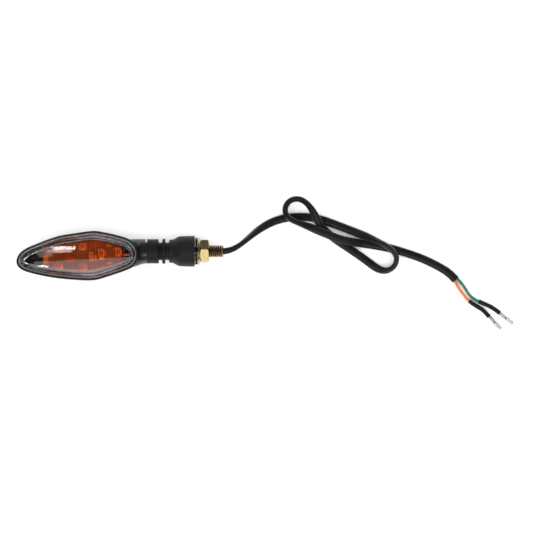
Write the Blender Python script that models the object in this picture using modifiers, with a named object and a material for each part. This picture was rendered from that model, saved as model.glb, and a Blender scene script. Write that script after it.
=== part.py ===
"""A motorcycle turn signal indicator: lamp head, flexible rubber stalk, hollow bolt with nut, and its cable.

It lies on its back with the lens up, its stem and bolt along +X and the ground at z = 0.
Lengths below are in millimetres, and each object is made in metres.
"""

import math

import bmesh
import bpy
import numpy as np
from mathutils import Matrix, Vector

MM = 0.001
GAP = 0.3
"""Clearance that touching pieces keep."""

# The lamp head. Its outline is a leaf, read anticlockwise from the stem end.
HEAD_OUTLINE = (
    (14.1, 2.0), (9.6, 10.7), (2.0, 14.5), (-11.0, 17.6), (-20.0, 18.7), (-33.0, 17.1), (-46.0, 14.9),
    (-63.0, 8.8), (-74.4, 2.8), (-77.8, -4.2), (-75.3, -9.4), (-66.4, -13.2), (-49.5, -16.6),
    (-34.0, -18.2), (-20.5, -18.6), (-12.5, -16.9), (4.0, -11.4), (11.4, -7.0),
)
HEAD_MIDDLE = (-25.0, 0.0)
CREST_X = -18.0
OUTLINE_POINTS = 240
RING_POINTS = 48
RIM_TOP = 21.0
TIP_RISE = 0.35
RISE_FROM_X, RISE_TO_X = -40.0, -78.0
WALL = 2.0
RIM_LIP = 1.4
LEDGE_Z = 18.2
POST_RADIUS = 2.6
POST_TOP = 10.7

# The clear lens: a flange in the rim, a sloping wall, and two facets that meet a narrow crown band.
FLANGE_INSET = RIM_LIP + GAP
FLANGE_BOTTOM, FLANGE_TOP = 19.4, 21.3
LENS_FOOT_INSET, SHOULDER_INSET = 2.1, 5.0
LENS_WALL = 1.6
FACET_SLOPE = 0.27
"""How far each facet falls for each millimetre away from the crown band."""
CROWN_BAND = ((-66.0, -3.6, 1.0, 25.2), (CREST_X, -0.2, 2.0, 30.4), (9.0, 1.4, 2.5, 26.4))
"""Stations of the crown band: x, y of its middle, half width, height."""

# What the lens covers.
AMBER_INSET, AMBER_WALL = 5.4, 1.0
AMBER_ENDS = (-59.5, 2.5)
AMBER_BOTTOM, AMBER_TOP = 12.9, 21.8
BOARD_INSET = 5.2
BOARD_ENDS = (-57.0, 1.2)
BOARD_BOTTOM, BOARD_THICKNESS = 11.0, 1.6
BOARD_TOP = BOARD_BOTTOM + BOARD_THICKNESS
LED_PLACES = ((-45.5, -7.6), (-27.0, -8.0), (-45.5, 5.3), (-27.5, 6.8), (-14.5, 1.3), (-1.8, 2.6))
LED_RADIUS, LED_FLANGE_RADIUS, LED_HEIGHT = 2.5, 2.9, 7.1
RESISTOR_PLACES = ((-8.4, 7.2), (-8.4, -4.6))
DIODE_PLACE = (-36.5, -1.6)
SCREW_PLACES = ((-55.5, -3.2), (-20.5, -0.6))
CHIP_RADIUS, CHIP_LENGTH = 1.1, 4.6
SCREW_HOLE, SCREW_SHANK, SCREW_HEAD, SCREW_TIP = 1.5, 1.1, 2.3, 8.3
LEAD_DIAMETER = 1.8

# The stalk, whose axis lies above the ground by the bell's radius.
BELL_RADIUS = 11.65
AXIS_Y, AXIS_Z = 3.4, BELL_RADIUS
STEM_RADIUS, STEM_END = 9.2, 20.5
SPIGOT_RADIUS, SPIGOT_END = 6.0, 26.5
STEM_BORE = 4.0
KEY_SLOT_X, KEY_SLOT_WIDTH, KEY_SLOT_DEPTH = 19.9, 1.5, 2.4
NECK_BORE = 3.2
CORE_RADIUS = 6.6
COLLAR_END = 29.1
RIB_START, RIB_END, RIB_RADIUS = 31.9, 34.1, 9.5
BELL_START, BELL_END = 37.1, 56.3
BELL_NECK_RADIUS = 8.7

# Bolt, washers and nut: an M10 thread of 1.5 mm pitch.
THREAD_RADIUS, THREAD_ROOT, THREAD_PITCH = 5.0, 4.2, 1.5
THREAD_START, BOLT_END = 60.0, 77.85
BOLT_BORE = 2.9
PLATE_RADIUS, PLATE_START, PLATE_THICKNESS = 8.4, 46.0, 3.0
LOCK_WASHER = (BELL_END + GAP, BELL_END + 2.4)
LOCK_TEETH, LOCK_RADIUS, LOCK_VALLEY = 16, 10.0, 8.7
FLAT_WASHER = (LOCK_WASHER[1] + GAP, LOCK_WASHER[1] + 1.4)
FLAT_RADIUS = 10.4
NUT = (FLAT_WASHER[1] + GAP, FLAT_WASHER[1] + 7.0)
NUT_FLATS, NUT_TURN = 16.0, math.radians(-8)

# The cable, its two wires and their terminals.
CABLE_DIAMETER, WIRE_DIAMETER, INSULATOR_DIAMETER = 5.0, 2.2, 3.3
CABLE_ROUTE = (
    (66.0, 3.4, 11.65), (72.0, 3.4, 11.65), (78.0, 3.4, 11.65), (84.5, 4.9, 11.0), (91.5, 9.0, 8.8),
    (99.0, 15.2, 5.4), (107.5, 21.6, 3.2), (117.0, 26.4, 2.6), (127.5, 29.0, 2.6), (139.0, 29.4, 2.6),
    (150.5, 27.8, 2.6), (162.0, 24.0, 2.6), (174.0, 19.4, 3.0), (185.0, 15.0, 5.6), (195.0, 10.8, 8.2),
    (203.4, 6.0, 8.8), (208.4, 0.0, 7.6), (208.0, -6.3, 5.6), (203.0, -10.8, 4.0), (196.3, -10.4, 2.8),
    (188.8, -5.6, 2.6), (180.0, 0.8, 2.6), (171.5, 6.6, 2.6), (163.5, 12.0, 2.6), (156.3, 17.8, 3.5),
    (150.3, 24.8, 7.1), (146.2, 32.4, 8.8), (141.2, 39.4, 8.2), (134.9, 42.9, 7.0), (128.4, 41.6, 6.6),
    (124.8, 36.4, 7.0), (125.8, 30.6, 8.2), (130.8, 26.6, 8.8), (139.5, 23.2, 9.0), (148.5, 19.5, 9.7),
    (157.5, 15.8, 9.2), (165.0, 13.0, 8.3), (173.5, 10.9, 5.8), (183.0, 9.3, 3.0), (194.0, 7.6, 2.6),
    (206.0, 5.2, 2.6), (217.0, 1.9, 2.6), (228.0, -2.0, 2.6), (238.5, -6.9, 2.6), (247.5, -12.2, 2.6),
    (254.0, -18.2, 2.6),
)
WIRE_ROUTES = {
    "green": ((255.4, -17.6, 2.5), (259.2, -21.9, 1.9), (262.2, -26.4, 1.4), (264.8, -30.0, 1.2),
              (267.9, -32.7, 1.3), (271.0, -34.4, 1.7)),
    "orange": ((253.5, -19.6, 2.5), (256.0, -24.1, 1.9), (259.0, -28.3, 1.4), (261.4, -31.4, 1.3),
               (263.8, -34.0, 1.7)),
}
INSULATOR_ROUTES = {
    "green": ((271.4, -34.5, 1.75), (276.4, -36.7, 1.75), (280.8, -38.8, 1.75), (284.8, -41.4, 1.75),
              (287.3, -43.4, 1.75)),
    "orange": ((264.1, -34.2, 1.75), (269.4, -38.0, 1.75), (274.0, -40.8, 1.75), (277.0, -43.6, 1.75),
               (279.4, -46.2, 1.75)),
}
TERMINAL_PROFILE = (
    (0.0, 0.0), (0.0, 1.5), (5.4, 1.5), (5.8, 1.1), (6.6, 1.1), (7.0, 1.6), (11.4, 1.6), (12.2, 1.3),
    (12.6, 0.7), (12.6, 0.0),
)
"""Distance along a bullet terminal and its radius there."""

TURN_STEPS = 24
SMALL_TURN_STEPS = 14
SMOOTH_ANGLE = math.radians(35)

BLACK_PLASTIC = {"color": (0.02, 0.02, 0.022), "roughness": 0.35}
BLACK_RUBBER = {"color": (0.015, 0.015, 0.016), "roughness": 0.7}
CLEAR = {"color": (0.95, 0.96, 0.97), "roughness": 0.05, "transmission": 0.9, "alpha": 0.35}
AMBER = {"color": (0.85, 0.28, 0.05), "roughness": 0.2, "transmission": 0.4}
BOARD_WHITE = {"color": (0.7, 0.7, 0.65), "roughness": 0.4}
LED_CLEAR = {"color": (0.95, 0.8, 0.5), "roughness": 0.1, "transmission": 0.5}
CERAMIC = {"color": (0.75, 0.7, 0.6), "roughness": 0.5}
DIODE_GLASS = {"color": (0.55, 0.23, 0.1), "roughness": 0.2}
STEEL = {"color": (0.6, 0.6, 0.6), "roughness": 0.35, "metallic": 1.0}
BLACK_STEEL = {"color": (0.03, 0.03, 0.03), "roughness": 0.4, "metallic": 0.8}
YELLOW_ZINC = {"color": (0.72, 0.56, 0.26), "roughness": 0.3, "metallic": 1.0}
BRASSY_ZINC = {"color": (0.4, 0.31, 0.18), "roughness": 0.4, "metallic": 1.0}
TINNED = {"color": (0.72, 0.71, 0.67), "roughness": 0.25, "metallic": 1.0}
BLACK_PVC = {"color": (0.02, 0.02, 0.02), "roughness": 0.45}
GREEN_PVC = {"color": (0.02, 0.3, 0.2), "roughness": 0.45}
ORANGE_PVC = {"color": (0.8, 0.2, 0.05), "roughness": 0.45}


# Curves and outlines, as rows of numpy arrays.


def spline(points, closed=False, steps=24):
    """A smooth cubic curve through the points, read at many places."""
    p = np.array(points, float)
    if closed:
        p = np.concatenate([p[-3:], p, p[:4]])
    knots = np.concatenate([[0], np.cumsum(np.sqrt(np.linalg.norm(np.diff(p, axis=0), axis=1)))])
    gaps = np.diff(knots)
    slopes = np.diff(p, axis=0) / gaps[:, None]
    system = np.eye(len(p))
    right = np.zeros_like(p)
    for i in range(1, len(p) - 1):
        system[i, i - 1 : i + 2] = gaps[i - 1], 2 * (gaps[i - 1] + gaps[i]), gaps[i]
        right[i] = 6 * (slopes[i] - slopes[i - 1])
    bends = np.linalg.solve(system, right)
    rows = []
    for i in range(3, len(p) - 4) if closed else range(len(p) - 1):
        for t in np.arange(steps) / steps:
            bend = ((1 - t) ** 3 - (1 - t)) * bends[i] + (t**3 - t) * bends[i + 1]
            rows.append((1 - t) * p[i] + t * p[i + 1] + gaps[i] ** 2 / 6 * bend)
    rows.append(rows[0] if closed else p[-1])
    return np.array(rows)


def evenly(line, count):
    """count points at equal steps along the line, both ends included."""
    along = np.concatenate([[0], np.cumsum(np.linalg.norm(np.diff(line, axis=0), axis=1))])
    places = np.linspace(0, along[-1], count)
    return np.stack([np.interp(places, along, column) for column in line.T], axis=1)


def length_of(line):
    return np.linalg.norm(np.diff(line, axis=0), axis=1).sum()


def inset(outline, depth):
    """The closed outline moved inwards, without the loops that tight corners would make."""
    ahead = np.roll(outline, -1, axis=0) - np.roll(outline, 1, axis=0)
    inwards = np.stack([-ahead[:, 1], ahead[:, 0]], axis=1) / np.linalg.norm(ahead, axis=1)[:, None]
    moved = outline + depth * inwards
    clear = np.linalg.norm(moved[:, None] - outline[None], axis=2).min(axis=1)
    return moved[clear > 0.98 * depth - 0.02]


HEAD_LEAF = evenly(spline(HEAD_OUTLINE, closed=True), OUTLINE_POINTS + 1)[:-1]


def leaf(depth, ends=None):
    """The head's outline moved inwards, as RING_POINTS points, and cut off square at the ends' x."""
    moved = inset(HEAD_LEAF, depth)
    turn = np.abs(np.arctan2(moved[:, 1] - HEAD_MIDDLE[1], moved[:, 0] - HEAD_MIDDLE[0]))
    moved = np.roll(moved, -turn.argmin(), axis=0)
    ring = evenly(np.concatenate([moved, moved[:1]]), RING_POINTS + 1)[:-1]
    if ends:
        ring[:, 0] = ring[:, 0].clip(*ends)
    return ring


def at_height(ring, z):
    return [(x, y, z) for x, y in ring]


def risen(points):
    """The points with what lies below the ledge lifted towards the head's tip."""
    rows = []
    for x, y, z in points:
        share = min(max((RISE_FROM_X - x) / (RISE_FROM_X - RISE_TO_X), 0), 1)
        rows.append((x, y, z + max(LEDGE_Z - z, 0) * TIP_RISE * share * share * (3 - 2 * share)))
    return rows


# Objects.

scene_collection = bpy.context.scene.collection


def new_collection(name, hidden=False):
    collection = bpy.data.collections.new(name)
    scene_collection.children.link(collection)
    collection.hide_render = hidden
    return collection


def clear_scene():
    for obj in list(bpy.data.objects):
        bpy.data.objects.remove(obj)


def principled(name, color, roughness, metallic=0.0, transmission=0.0, alpha=1.0):
    material = bpy.data.materials.new(name)
    material.use_nodes = True
    material.diffuse_color = (*color, alpha)
    shader = material.node_tree.nodes["Principled BSDF"]
    shader.inputs["Base Color"].default_value = (*color, 1)
    shader.inputs["Roughness"].default_value = roughness
    shader.inputs["Metallic"].default_value = metallic
    shader.inputs["Transmission Weight"].default_value = transmission
    return material


def add(name, data, look):
    """A named part of the indicator with its own material. Without a look it is a cutter."""
    obj = bpy.data.objects.new(name, data)
    if look is None:
        cutters.objects.link(obj)
        obj.hide_render = True
        obj.display_type = "WIRE"
    else:
        indicator.objects.link(obj)
        data.materials.append(principled(name, **look))
    return obj


def finished(mesh_builder, name):
    """A mesh in metres from a BMesh in millimetres, smooth where its faces nearly line up."""
    bmesh.ops.recalc_face_normals(mesh_builder, faces=mesh_builder.faces)
    mesh = bpy.data.meshes.new(name)
    mesh_builder.to_mesh(mesh)
    mesh_builder.free()
    mesh.transform(Matrix.Scale(MM, 4))
    mesh.shade_smooth()
    mesh.set_sharp_from_angle(angle=SMOOTH_ANGLE)
    return mesh


def lofted(name, rings, look):
    """A closed solid through rings of equally many points, capped at its first and last ring."""
    builder = bmesh.new()
    rows = [[builder.verts.new(point) for point in ring] for ring in rings]
    for low, high in zip(rows, rows[1:]):
        for i in range(len(low)):
            j = (i + 1) % len(low)
            builder.faces.new((low[i], low[j], high[j], high[i]))
    builder.faces.new(rows[0])
    builder.faces.new(rows[-1])
    return add(name, finished(builder, name), look)


def turned(name, profile, look, steps=TURN_STEPS, closed=False):
    """A solid turned about X. The profile is (x, radius) pairs, and a closed one goes round a bore."""
    mesh = bpy.data.meshes.new(name)
    edges = [(i, i + 1) for i in range(len(profile) - 1)]
    if closed:
        edges.append((len(profile) - 1, 0))
    mesh.from_pydata([(x * MM, 0, r * MM) for x, r in profile], edges, [])
    obj = add(name, mesh, look)
    screw = obj.modifiers.new("Turn", "SCREW")
    screw.axis = "X"
    screw.steps = screw.render_steps = steps
    screw.use_merge_vertices = not closed
    screw.merge_threshold = 0.00001
    screw.use_smooth_shade = True
    screw.use_normal_flip = True
    return obj


def on_stalk(obj):
    """Puts an object that was made about X on the stalk's axis."""
    obj.location = Vector((0, AXIS_Y, AXIS_Z)) * MM
    return obj


def tube(name, line, diameter, look):
    """A round tube along the points, with filled caps."""
    curve = bpy.data.curves.new(name, "CURVE")
    curve.dimensions = "3D"
    curve.bevel_depth = diameter / 2 * MM
    curve.bevel_resolution = 2
    curve.use_fill_caps = True
    path = curve.splines.new("POLY")
    path.points.add(len(line) - 1)
    for point, place in zip(path.points, line):
        point.co = (*(Vector(place) * MM), 1)
    return add(name, curve, look)


def cord(name, route, diameter, look, spacing):
    """A tube read from a smooth curve through the route, never lower than its own radius."""
    line = spline(route)
    line[:, 2] = line[:, 2].clip(diameter / 2 + 0.05)
    return tube(name, evenly(line, round(length_of(line) / (spacing * diameter)) + 1), diameter, look)


def cylinder(name, start, end, radius, look=None, steps=TURN_STEPS):
    """A cylinder or, with few steps, a prism between two points."""
    start, end = Vector(start) * MM, Vector(end) * MM
    builder = bmesh.new()
    bmesh.ops.create_cone(
        builder,
        cap_ends=True,
        segments=steps,
        radius1=radius * MM,
        radius2=radius * MM,
        depth=(end - start).length,
    )
    mesh = bpy.data.meshes.new(name)
    builder.to_mesh(mesh)
    builder.free()
    mesh.shade_smooth()
    mesh.set_sharp_from_angle(angle=SMOOTH_ANGLE)
    obj = add(name, mesh, look)
    obj.location = (start + end) / 2
    obj.rotation_euler = (end - start).to_track_quat("Z", "Y").to_euler()
    return obj


def boolean(obj, other, operation):
    modifier = obj.modifiers.new(f"{operation} {other.name}", "BOOLEAN")
    modifier.operation = operation
    modifier.object = other
    modifier.solver = "EXACT"


def cut(obj, other):
    boolean(obj, other, "DIFFERENCE")


# The lamp head.


def housing():
    """The black shell: a leaf-shaped bowl with a lens ledge, screw posts and the stem."""
    outside = ((11.0, 0.0), (9.0, 0.9), (6.6, 2.8), (4.2, 5.8), (2.2, 9.8), (0.9, 14.2), (0.2, 18.0),
               (0.0, 20.4), (0.4, RIM_TOP))
    inside = ((1.0, RIM_TOP), (RIM_LIP, 20.7), (RIM_LIP, LEDGE_Z), (3.5, LEDGE_Z), (3.8, 13.8),
              (4.8, 9.8), (6.6, 6.4), (8.8, 4.0), (11.0, WALL + 0.6))
    rings = [risen(at_height(leaf(depth), z)) for depth, z in outside + inside]
    shell = lofted("housing", rings, BLACK_PLASTIC)
    boolean(shell, stem(), "UNION")
    for i, (x, y) in enumerate(SCREW_PLACES):
        foot = risen([(x, y, WALL)])[0]
        post = cylinder(f"post_{i}", foot, (x, y, POST_TOP), POST_RADIUS, steps=SMALL_TURN_STEPS)
        boolean(shell, post, "UNION")
        hole_top = (x, y, POST_TOP + 1)
        cut(shell, cylinder(f"post_hole_{i}", (x, y, SCREW_TIP - GAP), hole_top, SCREW_HOLE - 0.1, steps=12))
    bore_start, bore_end = (5.0, AXIS_Y, AXIS_Z), (SPIGOT_END + 1, AXIS_Y, AXIS_Z)
    cut(shell, cylinder("stem_bore", bore_start, bore_end, STEM_BORE, steps=24))
    key_bottom = (KEY_SLOT_X, AXIS_Y + STEM_RADIUS, 0)
    key_top = (KEY_SLOT_X, AXIS_Y + STEM_RADIUS, 2 * AXIS_Z)
    key = cylinder("stem_key_slot", key_bottom, key_top, KEY_SLOT_WIDTH / 2, steps=12)
    key.scale = (1, KEY_SLOT_DEPTH / (KEY_SLOT_WIDTH / 2), 1)
    cut(shell, key)
    return shell


def stem():
    """The stem's solid: it flares into the head at one end and steps down to a spigot at the other."""
    stations = (
        (7.0, 1.7, 10.8, 8.2, 9.7), (12.6, 2.5, 10.2, 8.4, 9.6), (14.6, 2.9, 9.8, 8.9, 10.6),
        (17.0, 3.2, 9.4, 9.1, 11.4), (19.0, AXIS_Y, STEM_RADIUS, STEM_RADIUS, AXIS_Z),
        (STEM_END, AXIS_Y, STEM_RADIUS, STEM_RADIUS, AXIS_Z),
        (STEM_END, AXIS_Y, SPIGOT_RADIUS, SPIGOT_RADIUS, AXIS_Z),
        (SPIGOT_END, AXIS_Y, SPIGOT_RADIUS, SPIGOT_RADIUS, AXIS_Z),
    )
    turns = [math.tau * i / TURN_STEPS for i in range(TURN_STEPS)]
    rings = [
        [(x, y + across * math.cos(turn), z + up * math.sin(turn)) for turn in turns]
        for x, y, across, up, z in stations
    ]
    return lofted("stem_shape", rings, None)


def gasket():
    """A flat ring of soft foam between the housing's ledge and the lens flange."""
    low, high = LEDGE_Z + GAP, FLANGE_BOTTOM - GAP
    section = ((FLANGE_INSET, low), (FLANGE_INSET, high), (3.2, high), (3.2, low))
    return ring_solid("lens_gasket", [at_height(leaf(depth), z) for depth, z in section], BLACK_RUBBER)


def ring_solid(name, rings, look):
    """A closed hoop whose section is made of the rings' matching points."""
    builder = bmesh.new()
    rows = [[builder.verts.new(point) for point in ring] for ring in rings]
    for low, high in zip(rows, rows[1:] + rows[:1]):
        for i in range(len(low)):
            j = (i + 1) % len(low)
            builder.faces.new((low[i], low[j], high[j], high[i]))
    return add(name, finished(builder, name), look)


def facet_height(x, y):
    """Height of the lens there: flat facets that fall away from the crown band."""
    xs, middles, halves, heights = zip(*CROWN_BAND)
    beyond_end = max(xs[0] - x, x - xs[-1], 0)
    beyond_side = max(abs(y - np.interp(x, xs, middles)) - np.interp(x, xs, halves), 0)
    return float(np.interp(x, xs, heights)) - FACET_SLOPE * math.hypot(beyond_end, beyond_side)


def shoulder(depth, drop):
    """Where the lens wall meets its facets."""
    return [(x, y, facet_height(x, y) - drop) for x, y in leaf(depth)]


def crown(ring, drop):
    """The crown band's edge, one point for each point of the ring round it."""
    xs, ys, halves, heights = zip(*CROWN_BAND)
    low, high = min(x for x, _, _ in ring), max(x for x, _, _ in ring)
    rows = []
    for x, y, _ in ring:
        along = xs[0] + (x - low) / (high - low) * (xs[-1] - xs[0])
        middle = np.interp(along, xs, ys)
        half = np.interp(along, xs, halves)
        side = min(max((y - middle) / 6.0, -1), 1)
        rows.append((along, middle + half * side, np.interp(along, xs, heights) - drop))
    return rows


def outer_lens():
    outer, inner = shoulder(SHOULDER_INSET, 0), shoulder(SHOULDER_INSET + 1.4, LENS_WALL)
    inner_foot = LENS_FOOT_INSET + LENS_WALL
    rings = [
        crown(outer, 0),
        outer,
        at_height(leaf(LENS_FOOT_INSET), FLANGE_TOP + 0.2),
        at_height(leaf(FLANGE_INSET), FLANGE_TOP),
        at_height(leaf(FLANGE_INSET), FLANGE_BOTTOM),
        at_height(leaf(inner_foot), FLANGE_BOTTOM),
        inner,
        crown(inner, LENS_WALL),
    ]
    return lofted("outer_lens", rings, CLEAR)


def inner_lens():
    """The amber moulding over the LEDs: a tray upside down."""
    low, high = AMBER_ENDS
    inner_ends = (low + AMBER_WALL, high - AMBER_WALL)
    outside = ((1.5, AMBER_TOP), (0.7, AMBER_TOP - 0.5), (0.0, AMBER_TOP - 1.6), (0.0, AMBER_BOTTOM))
    rings = [at_height(leaf(AMBER_INSET + depth, AMBER_ENDS), z) for depth, z in outside]
    inside = ((0.0, AMBER_BOTTOM), (0.0, AMBER_TOP - 2.4), (0.9, AMBER_TOP - 1.4))
    inner_inset = AMBER_INSET + AMBER_WALL
    rings += [at_height(leaf(inner_inset + depth, inner_ends), z) for depth, z in inside]
    return lofted("inner_lens", rings, AMBER)


def circuit_board():
    outline = leaf(BOARD_INSET, BOARD_ENDS)
    rings = [at_height(outline, BOARD_BOTTOM), at_height(outline, BOARD_TOP)]
    board = lofted("circuit_board", rings, BOARD_WHITE)
    for i, (x, y) in enumerate(SCREW_PLACES):
        low, high = (x, y, BOARD_BOTTOM - 1), (x, y, BOARD_TOP + 1)
        cut(board, cylinder(f"board_hole_{i}", low, high, SCREW_HOLE, steps=12))
    return board


def on_board(obj, x, y):
    """Stands an object that was made about X upright on the board."""
    obj.rotation_euler = (0, -math.pi / 2, 0)
    obj.location = Vector((x, y, BOARD_TOP + GAP)) * MM
    return obj


def leds():
    dome_from = LED_HEIGHT - LED_RADIUS
    arc = [math.pi / 2 * i / 4 for i in range(1, 4)]
    dome = [(dome_from + LED_RADIUS * math.sin(a), LED_RADIUS * math.cos(a)) for a in arc]
    profile = [(0, 0), (0, LED_FLANGE_RADIUS), (1, LED_FLANGE_RADIUS), (1, LED_RADIUS),
               (dome_from, LED_RADIUS), *dome, (LED_HEIGHT, 0)]
    for i, (x, y) in enumerate(LED_PLACES, start=1):
        on_board(turned(f"led_{i}", profile, LED_CLEAR, steps=SMALL_TURN_STEPS), x, y)


def board_parts():
    """Two resistors, a diode, and the screws that hold the board to the housing's posts."""
    z = BOARD_TOP + GAP + CHIP_RADIUS
    capsule = [(0, 0), (0, 0.7), (0.35, CHIP_RADIUS), (CHIP_LENGTH - 0.35, CHIP_RADIUS),
               (CHIP_LENGTH, 0.7), (CHIP_LENGTH, 0)]
    places = {f"resistor_{i}": place for i, place in enumerate(RESISTOR_PLACES, start=1)}
    for name, (x, y) in {**places, "diode": DIODE_PLACE}.items():
        look = DIODE_GLASS if name == "diode" else CERAMIC
        part = turned(name, capsule, look, steps=12)
        part.location = Vector((x - CHIP_LENGTH / 2, y, z)) * MM
    shank_length = BOARD_TOP + GAP - SCREW_TIP
    screw = [(-shank_length, 0), (-shank_length, SCREW_SHANK), (0, SCREW_SHANK), (0, SCREW_HEAD),
             (0.9, SCREW_HEAD), (1.5, 1.5), (1.5, 0)]
    for i, (x, y) in enumerate(SCREW_PLACES, start=1):
        on_board(turned(f"board_screw_{i}", screw, STEEL, steps=12), x, y)


def inner_leads():
    """The two leads that run from the board's end, below the amber moulding, down the stem."""
    start, start_z = BOARD_ENDS[1] + GAP, AMBER_BOTTOM - GAP - LEAD_DIAMETER / 2
    for name, side, look in (("green", 1.5, GREEN_PVC), ("orange", -1.5, ORANGE_PVC)):
        route = ((start, 2.4 + 1.4 * side, start_z), (8.0, 3.1 + 1.1 * side, AXIS_Z),
                 (14.0, 3.3 + side, AXIS_Z), (20.0, AXIS_Y + side, AXIS_Z),
                 (SPIGOT_END, AXIS_Y + side, AXIS_Z))
        cord(f"{name}_inner_lead", route, LEAD_DIAMETER, look, spacing=1.2)


# The rubber stalk.


def bored(name, outside, bore, look, steps=TURN_STEPS):
    """A turned piece on the stalk's axis: its outer profile, then its bore's profile the other way."""
    return on_stalk(turned(name, [*outside, *bore], look, steps=steps, closed=True))


def straight_bore(start, end, radius):
    return [(end, radius), (start, radius)]


def stalk():
    """One rubber moulding, in five pieces because it bends at its two grooves."""
    start = STEM_END + GAP
    step = SPIGOT_END + GAP
    bored(
        "rubber_collar",
        [(start, 8.9), (start + 0.3, STEM_RADIUS), (COLLAR_END - 0.4, STEM_RADIUS), (COLLAR_END, 8.8)],
        [(COLLAR_END, NECK_BORE), (step, NECK_BORE), (step, SPIGOT_RADIUS + GAP),
         (start, SPIGOT_RADIUS + GAP)],
        BLACK_RUBBER,
    )
    cores = {"neck_core_front": (COLLAR_END, RIB_START), "neck_core_rear": (RIB_END, BELL_START)}
    for name, (low, high) in cores.items():
        low, high = low + GAP, high - GAP
        outside = [(low, CORE_RADIUS), (high, CORE_RADIUS)]
        bored(name, outside, straight_bore(low, high, NECK_BORE), BLACK_RUBBER)
    rib = [(RIB_START, 8.9), (RIB_START + 0.25, 9.35), (RIB_START + 0.7, RIB_RADIUS),
           (RIB_END - 0.7, RIB_RADIUS), (RIB_END - 0.25, 9.35), (RIB_END, 8.9)]
    bored("neck_rib", rib, straight_bore(RIB_START, RIB_END, NECK_BORE), BLACK_RUBBER)
    bell = [(BELL_START, 8.3), (BELL_START + 0.4, BELL_NECK_RADIUS), (39.6, 8.9), (41.6, 9.7), (43.8, 10.9),
            (45.2, 11.35), (47.5, 11.5), (54.8, BELL_RADIUS), (BELL_END - 0.4, BELL_RADIUS), (BELL_END, 11.3)]
    plate_end = PLATE_START + PLATE_THICKNESS
    hollow = [(BELL_END, THREAD_RADIUS + GAP), (plate_end + GAP, THREAD_RADIUS + GAP),
              (plate_end + GAP, PLATE_RADIUS + GAP), (PLATE_START - GAP, PLATE_RADIUS + GAP),
              (PLATE_START - GAP, NECK_BORE), (BELL_START, NECK_BORE)]
    bored("rubber_bell", bell, hollow, BLACK_RUBBER)


# Bolt, washers and nut.


def hollow_bolt():
    plate_end = PLATE_START + PLATE_THICKNESS
    outside = [(PLATE_START, PLATE_RADIUS), (plate_end, PLATE_RADIUS), (plate_end, THREAD_RADIUS),
               (THREAD_START, THREAD_RADIUS)]
    turns = int((BOLT_END - 1 - THREAD_START) / THREAD_PITCH)
    for i in range(turns):
        valley = THREAD_START + (i + 0.5) * THREAD_PITCH
        outside += [(valley, THREAD_ROOT), (valley + THREAD_PITCH / 2, THREAD_RADIUS)]
    outside += [(BOLT_END - 0.5, THREAD_RADIUS - 0.1), (BOLT_END, THREAD_ROOT)]
    bored("hollow_bolt", outside, straight_bore(PLATE_START, BOLT_END, BOLT_BORE), BRASSY_ZINC, steps=24)


def lock_washer():
    """A washer with teeth round its edge, cut from a flat outline."""
    curve = bpy.data.curves.new("lock_washer_outline", "CURVE")
    curve.dimensions = "2D"
    curve.fill_mode = "BOTH"
    curve.extrude = (LOCK_WASHER[1] - LOCK_WASHER[0]) / 2 * MM
    places = 4 * LOCK_TEETH
    teeth = [LOCK_RADIUS if i % 4 < 2 else LOCK_VALLEY for i in range(places)]
    for radii in (teeth, [THREAD_RADIUS + GAP] * TURN_STEPS):
        loop = curve.splines.new("POLY")
        loop.points.add(len(radii) - 1)
        loop.use_cyclic_u = True
        for i, radius in enumerate(radii):
            turn = math.tau * i / len(radii)
            loop.points[i].co = (radius * math.cos(turn) * MM, radius * math.sin(turn) * MM, 0, 1)
    washer = add("lock_washer", curve, BLACK_STEEL)
    washer.rotation_euler = (0, math.pi / 2, 0)
    washer.location = Vector((sum(LOCK_WASHER) / 2, AXIS_Y, AXIS_Z)) * MM


def flat_washer():
    low, high = FLAT_WASHER
    outside = [(low, FLAT_RADIUS), (high - 0.25, FLAT_RADIUS), (high, FLAT_RADIUS - 0.25)]
    bored("flat_washer", outside, straight_bore(low, high, THREAD_RADIUS + GAP), YELLOW_ZINC)


def hex_nut():
    """A hexagonal prism with its corners chamfered by a turned shape, and its bore cut out."""
    low, high = NUT
    corner = NUT_FLATS / 2 / math.cos(math.pi / 6)
    ends = (low, AXIS_Y, AXIS_Z), (high, AXIS_Y, AXIS_Z)
    nut = cylinder("hex_nut", *ends, corner, YELLOW_ZINC, steps=6)
    nut.data.transform(Matrix.Rotation(NUT_TURN, 4, "Z"))
    chamfer = 0.55
    barrel = on_stalk(turned(
        "nut_chamfer",
        [(low - 1, 0), (low - 1, corner - 3.0), (low + chamfer, corner - 0.1), (high - chamfer, corner - 0.1),
         (high + 1, corner - 3.0), (high + 1, 0)],
        None,
    ))
    boolean(nut, barrel, "INTERSECT")
    bore_ends = (low - 1, AXIS_Y, AXIS_Z), (high + 1, AXIS_Y, AXIS_Z)
    cut(nut, cylinder("nut_bore", *bore_ends, THREAD_RADIUS + GAP, steps=24))


# The cable.


def cable():
    cord("cable_sleeve", CABLE_ROUTE, CABLE_DIAMETER, BLACK_PVC, spacing=1.1)
    looks = {"green": GREEN_PVC, "orange": ORANGE_PVC}
    for colour, look in looks.items():
        cord(f"{colour}_wire", WIRE_ROUTES[colour], WIRE_DIAMETER, look, spacing=0.9)
        cord(f"{colour}_insulator", INSULATOR_ROUTES[colour], INSULATOR_DIAMETER, BLACK_PVC, spacing=0.6)
        before, last = (Vector(point) for point in INSULATOR_ROUTES[colour][-2:])
        ahead = (last - before).normalized()
        terminal = turned(f"{colour}_terminal", TERMINAL_PROFILE, TINNED, steps=SMALL_TURN_STEPS)
        terminal.location = (last + GAP * ahead) * MM
        terminal.rotation_euler = ahead.to_track_quat("X", "Z").to_euler()


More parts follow.
